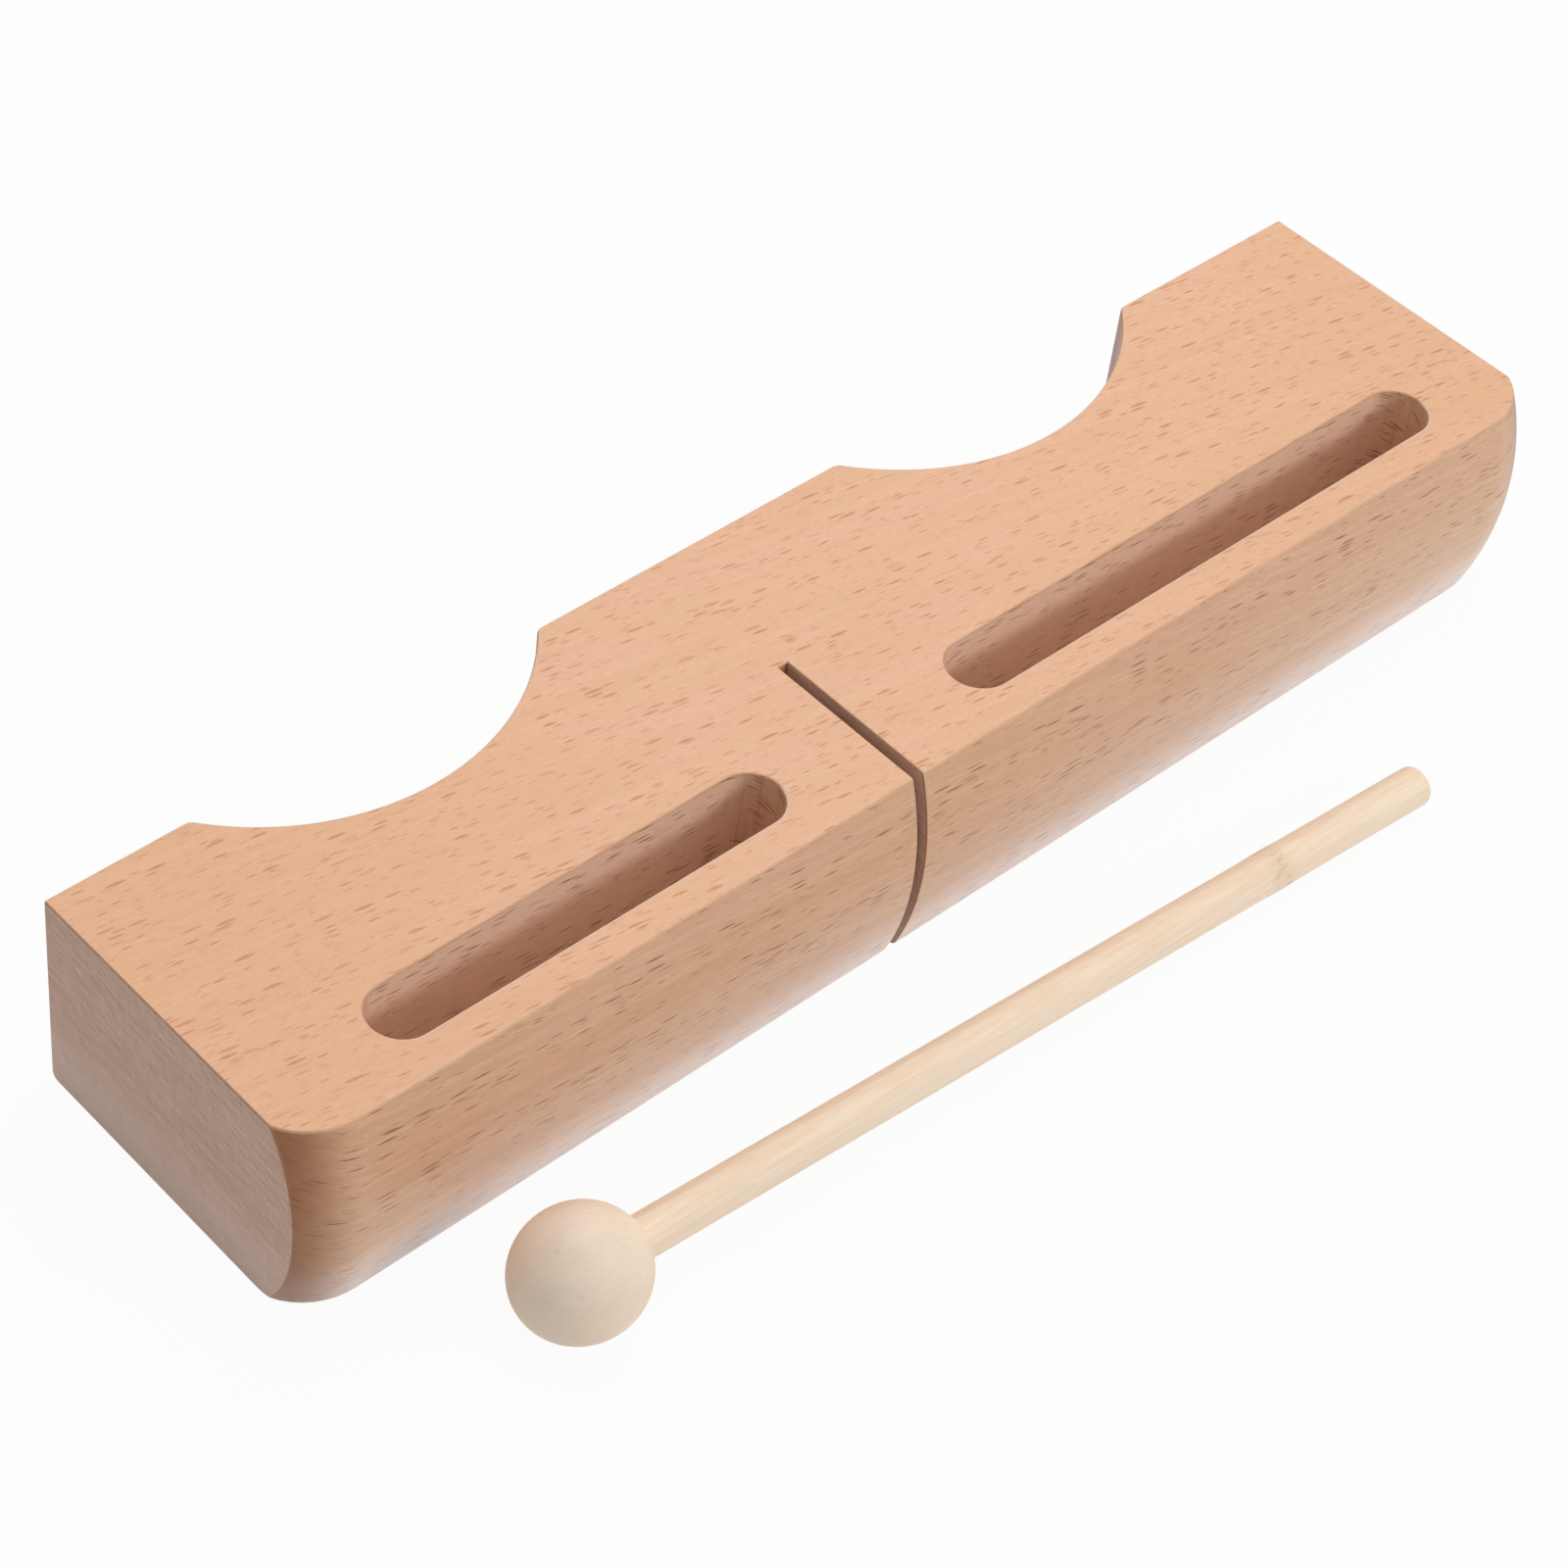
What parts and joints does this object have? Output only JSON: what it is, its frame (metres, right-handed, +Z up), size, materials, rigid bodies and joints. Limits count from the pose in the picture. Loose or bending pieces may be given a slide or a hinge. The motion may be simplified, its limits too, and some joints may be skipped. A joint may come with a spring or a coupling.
{
  "type": "wood block",
  "caption": "Beech wood block with a short and a long slot, a saw kerf between them, finger scoops behind and a ball-headed mallet.",
  "frame": {"origin": "middle of the block's base: halfway between the end faces, and halfway between the back face and the front's top edge", "axes": "+X along the block's length, from the short slot towards the long one; +Y from the bellied front towards the scooped back; +Z up, out of the slotted face"},
  "size_m": [0.25, 0.0876, 0.037],
  "materials": {
    "beech": "fine sanded, unvarnished",
    "turned_ball": "turned and sanded, unvarnished",
    "stick": "split and rounded, unvarnished"
  },
  "bodies": {
    "block": {"block": "beech"},
    "mallet": {"mallet_head": "turned_ball", "mallet_stick": "stick"}
  },
  "joints": [
    {"name": "mallet_lift", "type": "slide", "parent": "block", "child": "mallet", "axis": [0, 0, 1], "range_m": [0, 0.15]}
  ]
}
